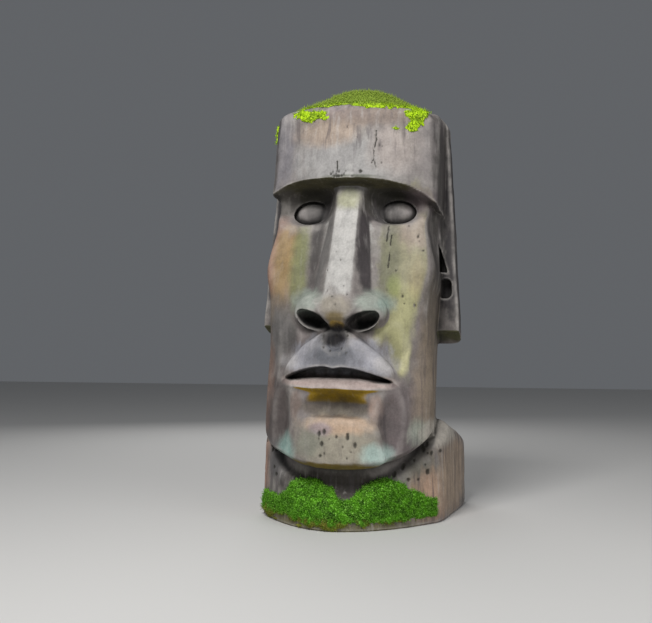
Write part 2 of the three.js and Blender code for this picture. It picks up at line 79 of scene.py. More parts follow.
LID = Sizes(at=(186, 94, 1286), size=(108, 62, 84), ease=24)
EYE_CREASE = Sizes(at=(190, 116, 1285), size=(90, 81, 71), floor=124, ease=6)
EYE = Sizes(at=(186, 112, 1288), size=(83, 76, 65), ease=3)
NOSE = Sizes(top=1373, rootReach=253, slope=0.348, half=48, flareTop=1334, flare=0.55, flareGrow=0.0013,
             flareMax=0.95, arris=14, tipLevel=862, tipReach=433, under=0.3, underEase=30, head=1440, ease=26)
WING = Sizes(at=(106, 326, 868), size=(90, 92, 80), ease=44)
TIP = Sizes(at=(0, 370, 884), size=(76, 66, 58), ease=18)
COLUMELLA = Sizes(level=797, half=20, flare=0.62, reach=372, slope=1.15, inset=8, back=290,
                  top=900, arris=10, ease=12)
NOSTRIL = Sizes(at=(102, 398, 830), size=(70, 104, 45), cant=0.3, climb=0.3, climbFrom=398, ease=7)
FOLD = Sizes(at=(226, 376, 712), size=(50, 72, 112), ease=36)
LIP = Sizes(level=650, corner=248, drop=65, power=2.2, notch=8, notchHalf=22, reach=441, rake=0.35,
            half=290, centre=205, arris=5, ease=14)
MUZZLE = Sizes(half=256, foot=585, rise=222, power=1.4, depth=110, ease=22)
MOUTH = Sizes(at=(0, 260, 612), size=(264, 175, 52), lift=4, half=274, reach=340, ease=10)
LOWER_LIP = Sizes(level=559, lift=10, liftHalf=237, reach=434, top=1.2, under=0.95, seat=607,
                  seatDrop=24, arris=4, ease=8)
CHIN_HOLLOW = Sizes(at=(15, 436, 494), size=(156, 76, 60), ease=34)
CHIN_CHANNEL = Sizes(at=(240, 394, 440), size=(50, 62, 150), ease=26)
CHIN = Sizes(side=20, half=158, flare=0.27, top=450, arch=0.0012, reach=449, bowAcross=0.0012,
             bowUp=0.0007, middle=340, edge=28, front=26, start=200, ease=16)
PHILTRUM = Sizes(at=(0, 418, 764), size=(46, 48, 50), ease=20)
JAW = Sizes(level=263, rise=190, reach=438, nape=400, napeFall=1.6, napeReach=100, napeEase=50,
            napeMax=240, bevel=1.05, bevelDepth=46, arris=6)
NECK = Sizes(half=300, centre=60, reach=352, rear=-255, frontSquareness=2.1, rearSquareness=2.5,
             top=480, foot=60, ease=16)
EAR = Sizes(top=1698, half=375, flare=0.08, front=30, rear=-100, foot=805, footFall=0.42,
            topFall=1.6, rearEase=70, arris=12, ease=10)
EAR_CLEFT = Sizes(inner=350, outer=386, ledge=1062, cant=0.3, front=60, back=-30, ease=5)
EAR_POCKET = Sizes(at=(378, 40, 990), half=(28, 60, 40), round=22, ease=6)
BODY_JOIN = 14
ELLIPSE = 2
SOFT_END = 20
CLOSE_END = 9


# ---- blending and building blocks ----
def blend_min(a, b, k):
    h = np.maximum(k - np.abs(a - b), 0) / k
    return np.minimum(a, b) - h * h * k / 4


def blend_max(a, b, k):
    return -blend_min(-a, -b, k)


def square(height, *slopes):
    """Turns a height above a sloping surface into the distance from it."""
    return height / np.sqrt(1 + sum(s ** 2 for s in slopes))


def ellipsoid(x, f, z, part):
    parts = [(x - part.at[0], part.size[0]), (f - part.at[1], part.size[1]), (z - part.at[2], part.size[2])]
    near = np.sqrt(sum((d / r) ** 2 for d, r in parts))
    slope = np.sqrt(sum((d / r ** 2) ** 2 for d, r in parts))
    return near * (near - 1) / np.maximum(slope, 1e-6)


def box(x, f, z, part):
    q = [np.abs(v - at) - half + part.round for v, at, half in zip((x, f, z), part.at, part.half)]
    outside = np.sqrt(sum(np.maximum(v, 0) ** 2 for v in q))
    return outside + np.minimum(np.maximum(np.maximum(q[0], q[1]), q[2]), 0) - part.round


def along(z, pairs):
    """Smooth curve through (height, value) pairs."""
    heights, levels = zip(*pairs)
    last = len(pairs) - 1
    ends = [(max(i - 1, 0), min(i + 1, last)) for i in range(last + 1)]
    slopes = [(levels[b] - levels[a]) / (heights[b] - heights[a]) for a, b in ends]
    z = np.clip(z, heights[0], heights[-1])
    value = np.zeros_like(z)
    for i in range(last):
        width = heights[i + 1] - heights[i]
        t = (z - heights[i]) / width
        u = 1 - t
        curve = (levels[i] * (1 + 2 * t) * u * u + levels[i + 1] * t * t * (3 - 2 * t)
                 + width * t * u * (slopes[i] * u - slopes[i + 1] * t))
        value = np.where((t >= 0) & (t <= 1), curve, value)
    return value


def slice_form(ax, f, half, centre, front, back, n):
    """Superellipse slice: widest at centre, reaching front and back of it."""
    reach = np.maximum(np.where(f > centre, front - centre, centre - back), 1)
    q = ((ax / half) ** n + (np.abs(f - centre) / reach) ** n) ** (1 / n)
    return (q - 1) * np.where(f > centre, np.sqrt(half * reach), half)


# ---- the form ----
def shoulders(x, f, z):
    ax = np.abs(x)
    front = BLOCK.front - BLOCK.rake * np.clip(z, 0, BLOCK.rakeTop) - BLOCK.bow * x * x
    half = BLOCK.half + BLOCK.splay * (BLOCK.corner - f)
    squareness = np.where(f > BLOCK.corner, BLOCK.sideSquareness, BLOCK.rearSquareness)
    sides = slice_form(ax, f, half, BLOCK.corner, FAR, BLOCK.rear, squareness)
    plan = blend_max(square(f - front, 2 * BLOCK.bow * x), sides, BLOCK.arris)
    collar = COLLAR.level - COLLAR.fall * f - COLLAR.dip * np.maximum(f - COLLAR.dipFrom, 0) ** 2
    level = blend_min(collar, COLLAR.napeLevel + COLLAR.napeFall * f, COLLAR.ease)
    top = level - COLLAR.shoulderFall * np.maximum(ax - COLLAR.shoulder, 0)
    return blend_max(blend_max(plan, square(z - top, COLLAR.fall), COLLAR.arris), -z, BLOCK.toe)


def nape_sides(ax, f, half):
    """The plain back of the head, shared by the face and the forehead slab."""
    squareness = np.where(f > NAPE.centre, NAPE.sideSquareness, NAPE.squareness)
    return slice_form(ax, f, half, NAPE.centre, FAR, BACK, squareness)


def forehead_slab(x, f, z):
    t = x / SLAB.half
    half = SLAB.half - SLAB.taper * (z - SLAB.edge)
    edge = SLAB.edge - SLAB.droop * np.abs(t) ** SLAB.droopPower - SLAB.skew * t * np.abs(t)
    front = SLAB.reach - SLAB.rake * (z - SLAB.edge) - SLAB.bow * t * t
    face = square(f - front, SLAB.rake, 2 * SLAB.bow * t / SLAB.half)
    slab = blend_max(blend_max(face, nape_sides(np.abs(x), f, half), SLAB.corner), SLAB.rear - f, SOFT_END)
    under = edge - np.clip(SLAB.under * (front - f), 0, SLAB.underMax)
    return blend_max(slab, square(under - z, SLAB.under), SLAB.arris)


def face_column(ax, f, z):
    squareness = np.where(f > FACE_CENTRE, along(z, FACE_SQUARENESS), along(z, BACK_SQUARENESS))
    front = slice_form(ax, f, along(z, FACE_HALF), FACE_CENTRE, along(z, FACE_REACH), BACK, squareness)
    back = nape_sides(ax, f, along(z, NAPE_HALF))
    t = np.clip((f - NAPE.start) / (NAPE.end - NAPE.start), 0, 1)
    column = back + (front - back) * t * t * (3 - 2 * t)
    return blend_max(column, -ellipsoid(ax, f, z, SOCKET), SOCKET.ease)


def with_eyes(stone, ax, f, z):
    lidded = blend_min(stone, ellipsoid(ax, f, z, LID), LID.ease)
    crease = np.maximum(ellipsoid(ax, f, z, EYE_CREASE), EYE_CREASE.floor - f)
    lidded = blend_max(lidded, -crease, EYE_CREASE.ease)
    return blend_min(lidded, ellipsoid(ax, f, z, EYE), EYE.ease)


def with_nose(stone, ax, f, z):
    ridge = NOSE.rootReach + NOSE.slope * (NOSE.top - z)
    flare = np.clip(NOSE.flare + NOSE.flareGrow * (NOSE.flareTop - z), NOSE.flare, NOSE.flareMax)
    sides = square(ax - NOSE.half - flare * (ridge - f), flare)
    nose = blend_max(sides, square(f - ridge, NOSE.slope), NOSE.arris)
    nose = blend_max(nose, NOSE.tipLevel + NOSE.under * (NOSE.tipReach - f) - z, NOSE.underEase)
    nose = blend_max(nose, np.maximum(z - NOSE.head, NECK.centre - f), CLOSE_END)
    lobes = blend_min(ellipsoid(ax, f, z, WING), ellipsoid(ax, f, z, TIP), WING.ease)
    return blend_min(blend_min(stone, nose, NOSE.ease), lobes, TIP.ease)


def with_mouth(stone, ax, f, z):
    form = blend_max(stone, -ellipsoid(ax, f, z, FOLD), FOLD.ease)
    notch = LIP.notch * np.exp(-((ax / LIP.notchHalf) ** 2))
    line = LIP.level - LIP.drop * (ax / LIP.corner) ** LIP.power - notch
    reach = LIP.reach - LIP.rake * np.maximum(z - LIP.level, 0)
    rise = np.maximum(z - MUZZLE.foot, 0) / MUZZLE.rise
    spread = ((ax / MUZZLE.half) ** MUZZLE.power + rise ** MUZZLE.power) ** (1 / MUZZLE.power)
    upper = slice_form(ax, f, LIP.half, LIP.centre, reach, 0, ELLIPSE)
    upper = blend_max(upper, (spread - 1) * MUZZLE.depth, MUZZLE.ease)
    upper = blend_max(upper, line - z, LIP.arris)
    wall = slice_form(ax, f, MOUTH.half, LIP.centre, MOUTH.reach, 0, ELLIPSE)
    cavity = np.maximum(np.maximum(ellipsoid(ax, f, z, MOUTH), z - line - MOUTH.lift), -wall)
    form = blend_max(form, -cavity, MOUTH.ease)
    form = blend_min(form, upper, LIP.ease)
    inset = -slice_form(ax, f, LIP.half, LIP.centre, LOWER_LIP.reach, 0, ELLIPSE)
    rim = LOWER_LIP.level + LOWER_LIP.lift * (ax / LOWER_LIP.liftHalf) ** 2
    top_face = square(z - rim - LOWER_LIP.top * inset, LOWER_LIP.top)
    under_face = square(rim - LOWER_LIP.under * inset - z, LOWER_LIP.under)
    lower = blend_max(top_face, under_face, LOWER_LIP.arris)
    seat = LOWER_LIP.seat - LOWER_LIP.seatDrop * (ax / LIP.corner) ** 2
    lower = blend_max(lower, np.maximum(z - seat, LIP.centre - f), CLOSE_END)
    return blend_min(form, lower, LOWER_LIP.ease)


def with_chin(stone, x, ax, f, z):
    form = blend_max(stone, -ellipsoid(x, f, z, CHIN_HOLLOW), CHIN_HOLLOW.ease)
    form = blend_max(form, -ellipsoid(ax, f, z, CHIN_CHANNEL), CHIN_CHANNEL.ease)
    bx = np.abs(x - CHIN.side)
    sides = bx - CHIN.half - CHIN.flare * (CHIN.top - z)
    boss = blend_max(sides, z - CHIN.top + CHIN.arch * bx * bx, CHIN.edge)
    front = CHIN.reach - CHIN.bowAcross * bx * bx - CHIN.bowUp * (z - CHIN.middle) ** 2
    face = square(f - front, 2 * CHIN.bowAcross * bx, 2 * CHIN.bowUp * (z - CHIN.middle))
    boss = blend_max(boss, face, CHIN.front)
    boss = blend_max(boss, CHIN.start - np.minimum(f, z), SOFT_END)
    form = blend_min(form, boss, CHIN.ease)
    jaw_line = JAW.level + JAW.rise * (1 - f / JAW.reach)
    nape_line = JAW.nape - np.minimum(JAW.napeFall * (JAW.napeReach - f), JAW.napeMax)
    arris = blend_min(np.maximum(jaw_line, JAW.level), nape_line, JAW.napeEase)
    bevel = square(form + JAW.bevel * (arris - z), JAW.bevel)
    return blend_max(form, blend_max(bevel, arris - JAW.bevelDepth - z, CLOSE_END), JAW.arris)


def with_nostrils(stone, ax, f, z):
    cant = NOSTRIL.cant * (ax - NOSTRIL.at[0]) + NOSTRIL.climb * (NOSTRIL.climbFrom - f)
    form = blend_max(stone, -ellipsoid(ax, f, z - cant, NOSTRIL), NOSTRIL.ease)
    rise = z - COLUMELLA.level
    bridge = square(ax - COLUMELLA.half - COLUMELLA.flare * rise, COLUMELLA.flare)
    front = square(f - COLUMELLA.reach - COLUMELLA.slope * rise, COLUMELLA.slope)
    ridge = square(f - NOSE.rootReach - NOSE.slope * (NOSE.top - z) + COLUMELLA.inset, NOSE.slope)
    bridge = blend_max(bridge, blend_max(front, ridge, COLUMELLA.arris), COLUMELLA.arris)
    bridge = np.maximum(bridge, np.maximum(np.maximum(-rise, z - COLUMELLA.top), COLUMELLA.back - f))
    form = blend_min(form, bridge, COLUMELLA.ease)
    return blend_max(form, -ellipsoid(ax, f, z, PHILTRUM), PHILTRUM.ease)


def neck_column(ax, f, z):
    squareness = np.where(f > NECK.centre, NECK.frontSquareness, NECK.rearSquareness)
    neck = slice_form(ax, f, NECK.half, NECK.centre, NECK.reach, NECK.rear, squareness)
    return blend_max(blend_max(neck, z - NECK.top, SOFT_END), NECK.foot - z, CLOSE_END)


def with_ears(stone, ax, f, z):
    outer = EAR.half + EAR.flare * (EAR.top - z)
    ear = blend_max(ax - outer, EAR.rear - f, EAR.rearEase)
    ear = blend_max(ear, f - EAR.front, EAR.arris)
    ear = blend_max(ear, square(EAR.foot - EAR.footFall * (EAR.front - f) - z, EAR.footFall), CLOSE_END)
    ear = blend_max(ear, square(z - EAR.top - EAR.topFall * (EAR.half - ax), EAR.topFall), EAR.arris)
    ear = blend_max(ear, -box(ax, f, z, EAR_POCKET), EAR_POCKET.ease)
    wedge = square(ax - EAR_CLEFT.outer + EAR_CLEFT.cant * (z - EAR_CLEFT.ledge), EAR_CLEFT.cant)
    cleft = np.maximum(np.maximum(wedge, EAR_CLEFT.inner - ax), EAR_CLEFT.ledge - z)
    cleft = np.maximum(cleft, np.maximum(f - EAR_CLEFT.front, EAR_CLEFT.back - f))
    return blend_max(blend_min(stone, ear, EAR.ease), -cleft, EAR_CLEFT.ease)


def head_form(x, f, z):
    ax = np.abs(x)
    form = blend_min(face_column(ax, f, z), forehead_slab(x, f, z), NOSE.ease)
    form = with_eyes(form, ax, f, z)
    form = with_nose(form, ax, f, z)
    form = with_mouth(form, ax, f, z)
    form = with_chin(form, x, ax, f, z)
    form = with_nostrils(form, ax, f, z)
    form = blend_min(form, neck_column(ax, f, z), NECK.ease)
    form = with_ears(form, ax, f, z)
    dome = CROWN.rise * np.exp(-(np.hypot(x / CROWN.half, f / CROWN.depth) ** CROWN.power))
    return blend_max(form, square(z - CROWN.level + CROWN.tilt * x - dome, CROWN.slope), CROWN.shoulder)


def to_head(p):
    """Points in the frame, turned back by the lean into the upright head's own x, f and z."""
    rise = p[..., 2] - NECK_PIVOT
    x = math.cos(LEAN) * p[..., 0] - math.sin(LEAN) * rise
    z = math.sin(LEAN) * p[..., 0] + math.cos(LEAN) * rise + NECK_PIVOT
    return x, -p[..., 1], z


def statue(p):
    return blend_min(shoulders(p[..., 0], -p[..., 1], p[..., 2]), head_form(*to_head(p)), BODY_JOIN)


# ---- noise ----
GRAIN_SIDE = 64
GRAIN = np.random.default_rng(SEED).random((GRAIN_SIDE,) * 3, np.float32) * 2 - 1


def noise(p, size, shift=0.0):
    """Smooth noise from -1 to 1 whose lumps are about size across."""
    q = p / np.float32(size) + np.float32(shift)
    low = np.floor(q).astype(np.int32)
    t = (q - low).astype(np.float32)
    t = t * t * (3 - 2 * t)
    total = 0
    for corner in np.ndindex(2, 2, 2):
        i, j, k = ((low[..., d] + corner[d]) % GRAIN_SIDE for d in range(3))
        share = np.prod([t[..., d] if corner[d] else 1 - t[..., d] for d in range(3)], axis=0)
        total = total + share * GRAIN[i, j, k]
    return total


def waves(p, parts, level=0):
    """Noise of several sizes added to a level. Each part is (height, size, shift)."""
    for height, size, shift in parts:
        level = level + height * noise(p, size, shift)
    return level


# ---- surfaces from fields ----
GROUP = 4
BATCH = 4000


def sample(low, counts, cell, form, reach=2.2):
    """The field on a grid, worked out only near its surface. counts are in groups of cells."""
    low = np.array(low, np.float32)
    middles = np.stack(np.meshgrid(*[(np.arange(n) + 0.5) * GROUP * cell for n in counts], indexing="ij"), -1)
    rough = form((middles + low).astype(np.float32))
    values = np.where(rough < 0, -FAR, FAR).astype(np.float32)
    for d in range(3):
        values = np.repeat(values, GROUP, axis=d)
    steps = np.array(list(np.ndindex(GROUP, GROUP, GROUP)))
    close = np.argwhere(np.abs(rough) < reach * GROUP * cell)
    for part in np.array_split(close, max(len(close) // BATCH, 1)):
        places = part[:, None, :] * GROUP + steps[None]
        values[tuple(np.moveaxis(places, -1, 0))] = form((places * cell + low).astype(np.float32))
    return values


def skin(values, low, cell):
    """Closed quads on the zero set: one vertex in every cell that it passes through."""
    inside = values < 0
    rings, points = [], []
    for axis in range(3):
        unit = np.eye(3, dtype=int)[axis]
        u, v = np.eye(3, dtype=int)[(axis + 1) % 3], np.eye(3, dtype=int)[(axis + 2) % 3]
        size = np.array(values.shape) - unit
        first = tuple(slice(0, n) for n in size)
        second = tuple(slice(s, s + n) for s, n in zip(unit, size))
        start = np.argwhere(inside[first] != inside[second])
        a = values[tuple(start.T)]
        b = values[tuple((start + unit).T)]
        at = start + (a / (a - b))[:, None] * unit
        ring = np.stack([start - u - v, start - v, start, start - u], 1)
        flip = ~inside[tuple(start.T)]
        ring[flip] = ring[flip][:, ::-1]
        rings.append(np.ravel_multi_index(tuple(np.moveaxis(ring, -1, 0)), values.shape))
        points.append(at)
    rings = np.concatenate(rings)
    points = np.repeat(np.concatenate(points), 4, axis=0)
    _, quads = np.unique(rings, return_inverse=True)
    quads = quads.reshape(-1, 4)
    share = np.bincount(quads.ravel())
    vertices = np.stack([np.bincount(quads.ravel(), weights=points[:, d]) / share for d in range(3)], 1)
    return (vertices * cell + np.array(low)).astype(np.float32), quads


SETTLE = Sizes(flattest=0.05, furthest=6, probe=3.0)


def slope_at(form, p, step=1.0):
    """Slope of the field at each point, from its values a step to either side."""
    parts = []
    for d in range(3):
        shift = np.zeros(3, np.float32)
        shift[d] = step
        parts.append((form(p + shift) - form(p - shift)) / (2 * step))
    return np.stack(parts, -1)


def settle(form, p, rounds=2):
    """Moves the points onto the surface, and returns them with the way it faces there."""
    for _ in range(rounds):
        slope = slope_at(form, p)
        steep = np.maximum((slope ** 2).sum(-1), SETTLE.flattest)
        move = np.clip(form(p) / steep, -SETTLE.furthest, SETTLE.furthest)
        p = p - (move[:, None] * slope).astype(np.float32)
    facing = slope_at(form, p, SETTLE.probe)
    return p, facing / np.maximum(np.linalg.norm(facing, axis=-1, keepdims=True), 1e-6)


def openness(p, facing, reach):
    """1 on open faces, falling towards 0 in corners and hollows narrower than reach."""
    return np.clip(statue(p + facing * np.float32(reach)) / reach, 0, 1)


def mark(piece, name, values):
    attribute = piece.data.attributes.new(name, "FLOAT", "POINT")
    attribute.data.foreach_set("value", values.astype(np.float32))


def points_of(piece):
    flat = np.empty(len(piece.data.vertices) * 3, np.float32)
    piece.data.vertices.foreach_get("co", flat)
    return flat.reshape(-1, 3) / MM


def new_piece(name, vertices, faces, material):
    mesh = bpy.data.meshes.new(name)
    mesh.from_pydata((vertices * MM).tolist(), [], faces)
    mesh.materials.append(material)
    mesh.shade_smooth()
    piece = bpy.data.objects.new(name, mesh)
    bpy.context.scene.collection.objects.link(piece)
    return piece


def thin_out(piece, most):
    """Takes triangles away where the surface is plainest, until at most that many are left."""
    triangles = sum(len(f.vertices) - 2 for f in piece.data.polygons)
    modifier = piece.modifiers.new("thin_out", "DECIMATE")
    modifier.ratio = min(most / triangles, 1.0)
    graph = bpy.context.evaluated_depsgraph_get()
    thinned = bpy.data.meshes.new_from_object(piece.evaluated_get(graph))
    piece.modifiers.clear()
    piece.data = thinned


CELL = 5.5
DEEP_REACH = 75  # how far the shade in broad hollows and in small ones looks outwards
NOOK_REACH = 24
STONE_FACES = 190_000

# ---- weathering of the stone ----
UNEVEN = [(2.2, 150, 150), (1.2, 60, 60), (0.5, 22, 22)]
EDGE_WEAR = Sizes(probe=9, gain=11, base=1.4, chip=4.5, chipSize=48)
CRACK = Sizes(half=6, depth=5, wander=5, wanderSize=24)
CRACKS = [[(110, 1632), (114, 1590), (106, 1550), (110, 1512), (122, 1470)],
          [(110, 1512), (101, 1494)],
          [(-46, 1502), (-43, 1466), (-54, 1434)],
          [(170, 1236), (167, 1172)],
          [(186, 1196), (181, 1060)]]
PITS = [Sizes(low=(-70, 1434), high=(70, 1460), count=13, size=(4, 8), block=False),
        Sizes(low=(-60, 1480), high=(150, 1660), count=6, size=(3, 5), block=False),
        Sizes(low=(-60, 285), high=(130, 400), count=14, size=(4, 9), block=False),
        Sizes(low=(-70, 700), high=(170, 790), count=8, size=(3, 6), block=False),
        Sizes(low=(-60, 890), high=(90, 1120), count=8, size=(3, 5), block=False),
        Sizes(low=(120, 900), high=(320, 1240), count=12, size=(3, 6), block=False),
        Sizes(low=(-400, 160), high=(-280, 330), count=9, size=(4, 9), block=True),
        Sizes(low=(230, 190), high=(450, 400), count=26, size=(4, 10), block=True)]
PIT_DEPTH = 0.7
PIT_MARGIN = 12
PIT_DARKEST = 3
FRONT_FADE = 60
FOOT_FADE = 12


def convexity(p):
    """Above 0 along outer edges and below 0 in hollows, in 1/mm."""
    probe = EDGE_WEAR.probe
    total = -6 * statue(p)
    for d in range(3):
        shift = np.zeros(3, np.float32)
        shift[d] = probe
        total = total + statue(p + shift) + statue(p - shift)
    return total / probe ** 2


def crack_cut(x, z, p):
    """How deep the cracks go at each point, from 0 to 1."""
    wander = CRACK.wander * noise(p, CRACK.wanderSize, 3.0)
    deepest = np.zeros_like(x)
    for path in CRACKS:
        for (ax, az), (bx, bz) in zip(path, path[1:]):
            run = (bx - ax, bz - az)
            share = ((x + wander - ax) * run[0] + (z - az) * run[1]) / (run[0] ** 2 + run[1] ** 2)
            share = np.clip(share, 0, 1)
            away = np.hypot(x + wander - ax - share * run[0], z - az - share * run[1])
            deepest = np.maximum(deepest, 1 - away / CRACK.half)
    return deepest


def pit_cut(x, z, p):
    """Depth of the small pits at each point, in millimetres."""
    rng = np.random.default_rng(SEED + 1)
    depth = np.zeros_like(x)
    on_block = shoulders(p[..., 0], -p[..., 1], p[..., 2]) < PIT_MARGIN
    for field in PITS:
        places = rng.uniform(field.low, field.high, (field.count, 2))
        for (px, pz), radius in zip(places, rng.uniform(*field.size, field.count)):
            near = (np.abs(x - px) < radius) & (np.abs(z - pz) < 2 * radius) & (on_block == field.block)
            away = np.hypot(x[near] - px, (z[near] - pz) * rng.uniform(0.5, 1)) / radius
            depth[near] = np.maximum(depth[near], np.maximum(1 - away ** 2, 0) * radius * PIT_DEPTH)
    return depth


def weather(p, facing):
    """Moves the smooth surface in and out by what tools, rain and wear have done to it."""
    x, f, z = to_head(p)
    edge = np.clip(convexity(p) * EDGE_WEAR.gain, 0, 1)
    out = waves(p, UNEVEN)
    out = out - edge * (EDGE_WEAR.base + EDGE_WEAR.chip * np.maximum(noise(p, EDGE_WEAR.chipSize, 5.0), 0))
    front = np.clip(f / FRONT_FADE, 0, 1)
    out = out - front * np.maximum(CRACK.depth * crack_cut(x, z, p), pit_cut(x, z, p))
    keep = np.clip(p[:, 2] / FOOT_FADE, 0, 1)
    return p + facing * (out * keep)[:, None]


def carve_stone(material):
    """The whole stone as one mesh, with its edges, hollows and pits marked for the material."""
    lo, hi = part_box(STONE_NODE)
    low = [math.floor(v / MM) - 3 * CELL for v in lo]
    counts = [math.ceil((h - l) / MM / (GROUP * CELL)) + 2 for l, h in zip(lo, hi)]
    vertices, quads = skin(sample(low, counts, CELL, statue), low, CELL)
    vertices = weather(*settle(statue, vertices))
    piece = new_piece("weathered_stone", vertices, quads.tolist(), material)
    thin_out(piece, STONE_FACES)
    places = points_of(piece)
    x, f, z = to_head(places)
    on_face, facing = settle(statue, places)
    bend = convexity(on_face) * EDGE_WEAR.gain
    mark(piece, "edge", np.clip(bend, 0, 1))
    mark(piece, "crease", np.clip(-bend, 0, 1))
    mark(piece, "deep", 1 - openness(on_face, facing, DEEP_REACH))
    mark(piece, "nook", 1 - openness(on_face, facing, NOOK_REACH))
    cut = pit_cut(x, z, places) / PIT_DARKEST
    mark(piece, "cut", np.clip(cut, 0, 1) * (f > 0))
    return piece


# ---- moss ----
MOSS_CELL = 4.5
MOSS_UNDER = 4.0
MOSS_FLOOR = 1.0
MOSS_EDGE = Sizes(thinnest=1, steepness=2)
MOSS_LEVEL = 0.75
TUFT = Sizes(length=9, radius=1.7, rise=np.array([0, 0, 0.3]), spread=0.5, shares=(0.5, 1.2))
BASE_MOSS = Sizes(low=(-440, -480, -10), high=(440, -150, 260), left=-392, right=382, middle=43, dip=112,
                  crest=82, crestHalf=150, foot=26, footWander=(0.6, 90, 6.0), soft=16, thick=12,
                  ragged=[(17, 42, 1.0), (6.8, 13, 2.0)], lumps=[(0.3, 34, 8.0), (0.16, 12, 9.0)],
                  strip=-3, stripLevel=12, stripEnd=400, stripThick=5, stripWander=(17, 46, 3.0), tufts=13000)
CROWN_MOSS = Sizes(low=(-400, -380, 1540), high=(460, 330, 1875), thick=7, soft=20, inset=6,
                   ragged=[(26, 40, 1.5), (13, 12, 2.5)], lumps=[(0.3, 32, 8.5), (0.16, 11, 9.5)],
                   lift=4, rim=16, rimSlope=3, most=60, patchSlope=1.6, tufts=12000)


def base_moss(p):
    """Thickness of the moss on the front of the base, negative where there is none."""
    x, z = p[..., 0], p[..., 2]
    ragged = waves(p, BASE_MOSS.ragged)
    away = np.abs(x - BASE_MOSS.middle)
    crest = BASE_MOSS.dip + BASE_MOSS.crest * np.sin(np.clip(away / BASE_MOSS.crestHalf, 0, 2) * math.pi / 2)
    inside = np.minimum(np.minimum(x - BASE_MOSS.left, BASE_MOSS.right - x), crest - z)
    inside = np.minimum(inside, z - BASE_MOSS.foot * waves(p, [BASE_MOSS.footWander], 1)) + ragged
    lumps = waves(p, BASE_MOSS.lumps, MOSS_LEVEL)
    mat = BASE_MOSS.thick * np.clip(inside / BASE_MOSS.soft, -1, 1) * lumps
    strip = waves(p, [BASE_MOSS.stripWander], BASE_MOSS.strip - np.abs(z - BASE_MOSS.stripLevel))
    strip = np.minimum(strip, BASE_MOSS.stripEnd - np.abs(x))
    return np.maximum(mat, BASE_MOSS.stripThick * np.clip(strip / BASE_MOSS.soft, -1, 1))


CROWN_PATCHES = [Sizes(at=(-185, 1714), half=(72, 27)), Sizes(at=(-150, 1702), half=(40, 22)),
                 Sizes(at=(190, 1644), half=(112, 15)), Sizes(at=(246, 1650), half=(56, 26)),
                 Sizes(at=(268, 1706), half=(66, 30)), Sizes(at=(120, 1738), half=(62, 12)),
                 Sizes(at=(-366, 1650), half=(14, 70))]


def crown_moss(p):
    """Thickness of the moss on the dome and over the top edge of the forehead."""
    x, f, z = to_head(p)
    ragged = waves(p, CROWN_MOSS.ragged)
    spread = z - CROWN.level + CROWN.tilt * x + CROWN_MOSS.lift
    over = np.minimum((spread - CROWN_MOSS.rim) * CROWN_MOSS.rimSlope, CROWN_MOSS.most)
    forward = f * 2 + FAR * (f > 0)
    for patch in CROWN_PATCHES:
        away = np.hypot((x - patch.at[0]) / patch.half[0], (z - patch.at[1]) / patch.half[1])
        over = np.maximum(over, np.minimum((1 - away) * min(patch.half) * CROWN_MOSS.patchSlope, forward))
    inside = over + ragged - CROWN_MOSS.inset
    lumps = waves(p, CROWN_MOSS.lumps, MOSS_LEVEL)
    return CROWN_MOSS.thick * np.clip(inside / CROWN_MOSS.soft, -1, 1) * lumps


def tufts(vertices, quads, count, length):
    """Short three-sided blades that stand on a surface, as points and triangles."""
    rng = np.random.default_rng(SEED + 2)
    corners = vertices[quads]
    out = np.cross(corners[:, 2] - corners[:, 0], corners[:, 3] - corners[:, 1])
    area = np.linalg.norm(out, axis=1)
    area[statue(corners.mean(1)) < 0] = 0
    pick = rng.choice(len(quads), count, p=area / area.sum())
    u, v = rng.random((2, count, 1))
    a, b, c, d = np.moveaxis(corners[pick], 1, 0)
    root = (a * (1 - u) + b * u) * (1 - v) + (d * (1 - u) + c * u) * v
    out = out[pick] / np.linalg.norm(out[pick], axis=1, keepdims=True)
    lean = out + rng.normal(0, TUFT.spread, (count, 3)) + TUFT.rise
    tip = root + lean * length * rng.uniform(*TUFT.shares, (count, 1))
    across = np.cross(out, rng.normal(0, 1, (count, 3)))
    across *= TUFT.radius / np.linalg.norm(across, axis=1, keepdims=True)
    aside = np.cross(out, across)
    turns = (0, 2 * math.pi / 3, 4 * math.pi / 3)
    feet = [root - out + across * math.cos(t) + aside * math.sin(t) for t in turns]
    points = np.stack([*feet, tip], 1).reshape(-1, 3)
    points[:, 2] = np.maximum(points[:, 2], MOSS_FLOOR)
    blade = np.array([[0, 1, 3], [1, 2, 3], [2, 0, 3], [0, 2, 1]])
    return points, (np.arange(count)[:, None, None] * 4 + blade).reshape(-1, 3)


def grow_moss(name, part, thickness, material):
    """A cushion of moss that hugs the stone and stops at the ground, with tufts all over it."""
    def mat(p):
        stone_at = statue(p)
        thick = thickness(p)
        cushion = np.maximum(np.maximum(stone_at - thick, -stone_at - MOSS_UNDER),
                             (MOSS_EDGE.thinnest - thick) * MOSS_EDGE.steepness)
        return np.maximum(cushion, MOSS_FLOOR - p[..., 2])

    counts = [math.ceil((h - l) / (GROUP * MOSS_CELL)) for l, h in zip(part.low, part.high)]
    vertices, quads = skin(sample(part.low, counts, MOSS_CELL, mat, reach=3.0), part.low, MOSS_CELL)
    blade_points, blades = tufts(vertices, quads, part.tufts, TUFT.length)
    faces = quads.tolist() + (blades + len(vertices)).tolist()
    return new_piece(name, np.concatenate([vertices, blade_points]), faces, material)


